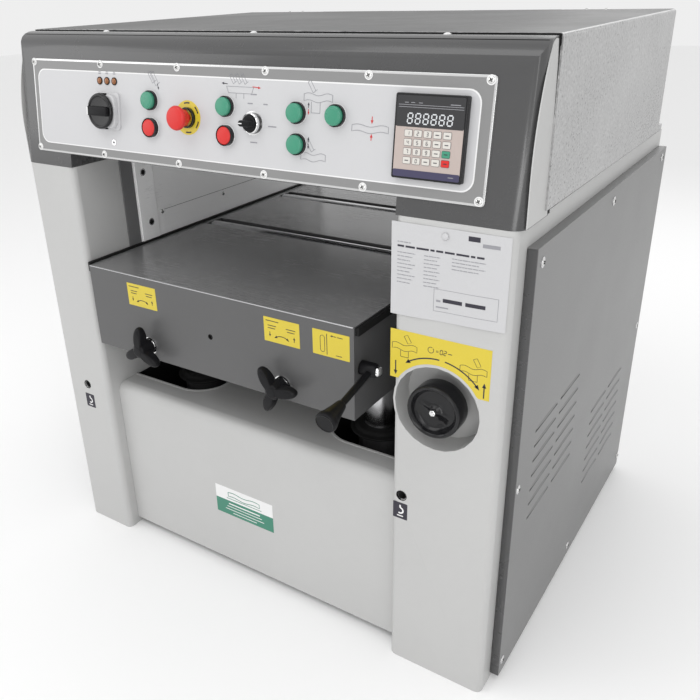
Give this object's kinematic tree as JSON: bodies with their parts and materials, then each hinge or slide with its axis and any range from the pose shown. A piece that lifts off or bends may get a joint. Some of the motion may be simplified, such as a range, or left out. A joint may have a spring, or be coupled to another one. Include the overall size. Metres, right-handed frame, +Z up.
{
  "type": "thickness planer",
  "caption": "Floor-standing woodworking thickness planer with a powered rising table, feed rollers and cutter head in a sheet-steel cabinet, a front control console and a hinged hood.",
  "frame": {"origin": "on the floor plate's underside, midway across the cabinet and midway along its depth", "axes": "+Z up; +X to the operator's right; +Y into the machine, so boards feed along +Y and the operator stands at -Y"},
  "size_m": [1.0776, 1.0723, 1.132],
  "materials": {
    "amber_plastic": "amber lens",
    "belt_rubber": "black belt",
    "black_plastic": "moulded black plastic",
    "cabinet_grey": "light grey powder coat, satin",
    "green_plastic": "green plastic",
    "grey_plastic": "grey plastic",
    "ground_iron": "ground and oiled cast iron",
    "hammer_grey": "mid grey hammered paint",
    "motor_paint": "blue-grey motor enamel",
    "pale_grey": "pale grey front plate",
    "red_plastic": "red plastic",
    "rough_iron": "cast iron, dark",
    "slate_grey": "dark grey textured paint, satin",
    "steel": "turned steel",
    "zinc_sheet": "zinc-plated sheet"
  },
  "bodies": {
    "cabinet": {"base_frame": "rough_iron", "left_casing": "cabinet_grey", "right_casing": "cabinet_grey", "left_side_panel": "slate_grey", "right_side_panel": "slate_grey", "left_guide_plate": "zinc_sheet", "right_guide_plate": "zinc_sheet", "front_base_panel": "cabinet_grey", "rear_base_panel": "cabinet_grey", "head_frame": "rough_iron", "cutter_bearing_left": "rough_iron", "cutter_bearing_right": "rough_iron", "pressure_bar": "rough_iron", "anti_kickback_rod": "steel", "drive_motor": "motor_paint", "drive_belt": "belt_rubber", "feed_gearmotor": "motor_paint", "feed_chain": "steel", "lift_gearmotor": "motor_paint", "lift_chain": "steel", "handwheel_gearbox": "rough_iron", "front_console": "slate_grey", "control_plate": "pale_grey", "main_switch_base": "grey_plastic", "indicator_lamps": "amber_plastic", "digital_readout": "black_plastic", "dust_hood": "hammer_grey", "hood_hinge": "steel"},
    "table": {"table_bed": "ground_iron", "lifting_column_front_left": "steel", "lifting_column_front_right": "steel", "lifting_column_rear_left": "steel", "lifting_column_rear_right": "steel"},
    "infeed_bed_roller": {"infeed_bed_roller": "steel"},
    "outfeed_bed_roller": {"outfeed_bed_roller": "steel"},
    "clamp_knob_left": {"table_clamp_knob_left": "black_plastic"},
    "clamp_knob_right": {"table_clamp_knob_right": "black_plastic"},
    "roller_lever": {"bed_roller_lever": "black_plastic"},
    "lead_screw_left": {"lead_screw_left": "steel"},
    "lead_screw_right": {"lead_screw_right": "steel"},
    "handwheel": {"handwheel": "black_plastic"},
    "cutter": {"cutter_block": "steel", "cutter_pulley": "rough_iron"},
    "motor_rotor": {"motor_pulley": "rough_iron"},
    "infeed_roller": {"infeed_roller": "steel"},
    "outfeed_roller": {"outfeed_roller": "steel"},
    "feed_drive": {"feed_drive_sprocket": "steel"},
    "chip_breaker": {"chip_breaker": "rough_iron"},
    "anti_kickback": {"anti_kickback_fingers": "steel"},
    "hood": {"hood": "hammer_grey"},
    "emergency_stop": {"emergency_stop_button": "red_plastic"},
    "selector": {"selector_knob": "black_plastic"},
    "main_switch": {"main_switch_knob": "black_plastic"},
    "feed_start_button": {"feed_start_button": "green_plastic"},
    "cutter_start_button": {"cutter_start_button": "green_plastic"},
    "table_up_button": {"table_up_button": "green_plastic"},
    "table_position_button": {"table_position_button": "green_plastic"},
    "table_down_button": {"table_down_button": "green_plastic"},
    "feed_stop_button": {"feed_stop_button": "red_plastic"},
    "cutter_stop_button": {"cutter_stop_button": "red_plastic"}
  },
  "joints": [
    {"name": "table_lift", "type": "slide", "parent": "cabinet", "child": "table", "axis": [0, 0, 1], "range_m": [-0.11, 0.19]},
    {"name": "infeed_bed_roller_spin", "type": "hinge", "parent": "table", "child": "infeed_bed_roller", "pos_m": [0, -0.068, 0.6595], "axis": [1, 0, 0], "continuous": true},
    {"name": "outfeed_bed_roller_spin", "type": "hinge", "parent": "table", "child": "outfeed_bed_roller", "pos_m": [0, 0.22, 0.6595], "axis": [1, 0, 0], "continuous": true},
    {"name": "clamp_knob_left_turn", "type": "hinge", "parent": "table", "child": "clamp_knob_left", "pos_m": [-0.225, -0.446, 0.538], "axis": [0, 1, 0], "range_deg": [-360, 0]},
    {"name": "clamp_knob_right_turn", "type": "hinge", "parent": "table", "child": "clamp_knob_right", "pos_m": [0.109, -0.446, 0.538], "axis": [0, 1, 0], "range_deg": [-360, 0]},
    {"name": "roller_lever_turn", "type": "hinge", "parent": "table", "child": "roller_lever", "pos_m": [0.282, -0.423, 0.603], "axis": [1, 0, 0], "range_deg": [-30, 25]},
    {"name": "lead_screw_left_spin", "type": "hinge", "parent": "cabinet", "child": "lead_screw_left", "pos_m": [-0.2635, -0.14, 0], "axis": [0, 0, 1], "continuous": true},
    {"name": "lead_screw_right_spin", "type": "hinge", "parent": "cabinet", "child": "lead_screw_right", "pos_m": [0.2065, -0.14, 0], "axis": [0, 0, 1], "continuous": true},
    {"name": "handwheel_spin", "type": "hinge", "parent": "cabinet", "child": "handwheel", "pos_m": [0.411, -0.44, 0.571], "axis": [0, 1, 0], "continuous": true},
    {"name": "cutter_spin", "type": "hinge", "parent": "cabinet", "child": "cutter", "pos_m": [0, 0.076, 0.935], "axis": [1, 0, 0], "continuous": true},
    {"name": "motor_spin", "type": "hinge", "parent": "cabinet", "child": "motor_rotor", "pos_m": [0, 0.09, 0.165], "axis": [1, 0, 0], "continuous": true},
    {"name": "infeed_roller_spin", "type": "hinge", "parent": "cabinet", "child": "infeed_roller", "pos_m": [0, -0.068, 0.916], "axis": [1, 0, 0], "continuous": true},
    {"name": "outfeed_roller_spin", "type": "hinge", "parent": "cabinet", "child": "outfeed_roller", "pos_m": [0, 0.22, 0.916], "axis": [1, 0, 0], "continuous": true},
    {"name": "feed_drive_spin", "type": "hinge", "parent": "cabinet", "child": "feed_drive", "pos_m": [0, 0.076, 0.66], "axis": [1, 0, 0], "continuous": true},
    {"name": "chip_breaker_swing", "type": "hinge", "parent": "cabinet", "child": "chip_breaker", "pos_m": [0, -0.005, 0.99], "axis": [1, 0, 0], "range_deg": [-8, 0]},
    {"name": "anti_kickback_swing", "type": "hinge", "parent": "cabinet", "child": "anti_kickback", "pos_m": [0, -0.2, 0.955], "axis": [1, 0, 0], "range_deg": [0, 55]},
    {"name": "hood_hinge_swing", "type": "hinge", "parent": "cabinet", "child": "hood", "pos_m": [0, 0.3445, 1.1258], "axis": [-1, 0, 0], "range_deg": [0, 65]},
    {"name": "emergency_stop_push", "type": "slide", "parent": "cabinet", "child": "emergency_stop", "axis": [0, 0.9929, -0.1191], "range_m": [0, 0.005]},
    {"name": "selector_turn", "type": "hinge", "parent": "cabinet", "child": "selector", "pos_m": [0.066, -0.42638, 0.9968], "axis": [0, -0.9929, 0.1191], "range_deg": [-45, 45]},
    {"name": "main_switch_turn", "type": "hinge", "parent": "cabinet", "child": "main_switch", "pos_m": [-0.273, -0.42638, 0.9968], "axis": [0, -0.9929, 0.1191], "range_deg": [-90, 0]},
    {"name": "feed_start_button_push", "type": "slide", "parent": "cabinet", "child": "feed_start_button", "axis": [0, 0.9929, -0.1191], "range_m": [0, 0.004], "stiffness_N_per_m": 250, "springref_m": -0.002},
    {"name": "cutter_start_button_push", "type": "slide", "parent": "cabinet", "child": "cutter_start_button", "axis": [0, 0.9929, -0.1191], "range_m": [0, 0.004], "stiffness_N_per_m": 250, "springref_m": -0.002},
    {"name": "table_up_button_push", "type": "slide", "parent": "cabinet", "child": "table_up_button", "axis": [0, 0.9929, -0.1191], "range_m": [0, 0.004], "stiffness_N_per_m": 250, "springref_m": -0.002},
    {"name": "table_position_button_push", "type": "slide", "parent": "cabinet", "child": "table_position_button", "axis": [0, 0.9929, -0.1191], "range_m": [0, 0.004], "stiffness_N_per_m": 250, "springref_m": -0.002},
    {"name": "table_down_button_push", "type": "slide", "parent": "cabinet", "child": "table_down_button", "axis": [0, 0.9929, -0.1191], "range_m": [0, 0.004], "stiffness_N_per_m": 250, "springref_m": -0.002},
    {"name": "feed_stop_button_push", "type": "slide", "parent": "cabinet", "child": "feed_stop_button", "axis": [0, 0.9929, -0.1191], "range_m": [0, 0.004], "stiffness_N_per_m": 250, "springref_m": -0.002},
    {"name": "cutter_stop_button_push", "type": "slide", "parent": "cabinet", "child": "cutter_stop_button", "axis": [0, 0.9929, -0.1191], "range_m": [0, 0.004], "stiffness_N_per_m": 250, "springref_m": -0.002}
  ],
  "couplings": [
    {"joint": "lead_screw_left_spin", "follows": "table_lift", "rad_per_m": 628.32},
    {"joint": "lead_screw_right_spin", "follows": "table_lift", "rad_per_m": 628.32},
    {"joint": "motor_spin", "follows": "cutter_spin", "ratio": 0.81818},
    {"joint": "outfeed_roller_spin", "follows": "infeed_roller_spin", "ratio": 1},
    {"joint": "feed_drive_spin", "follows": "infeed_roller_spin", "ratio": 1.3333}
  ]
}
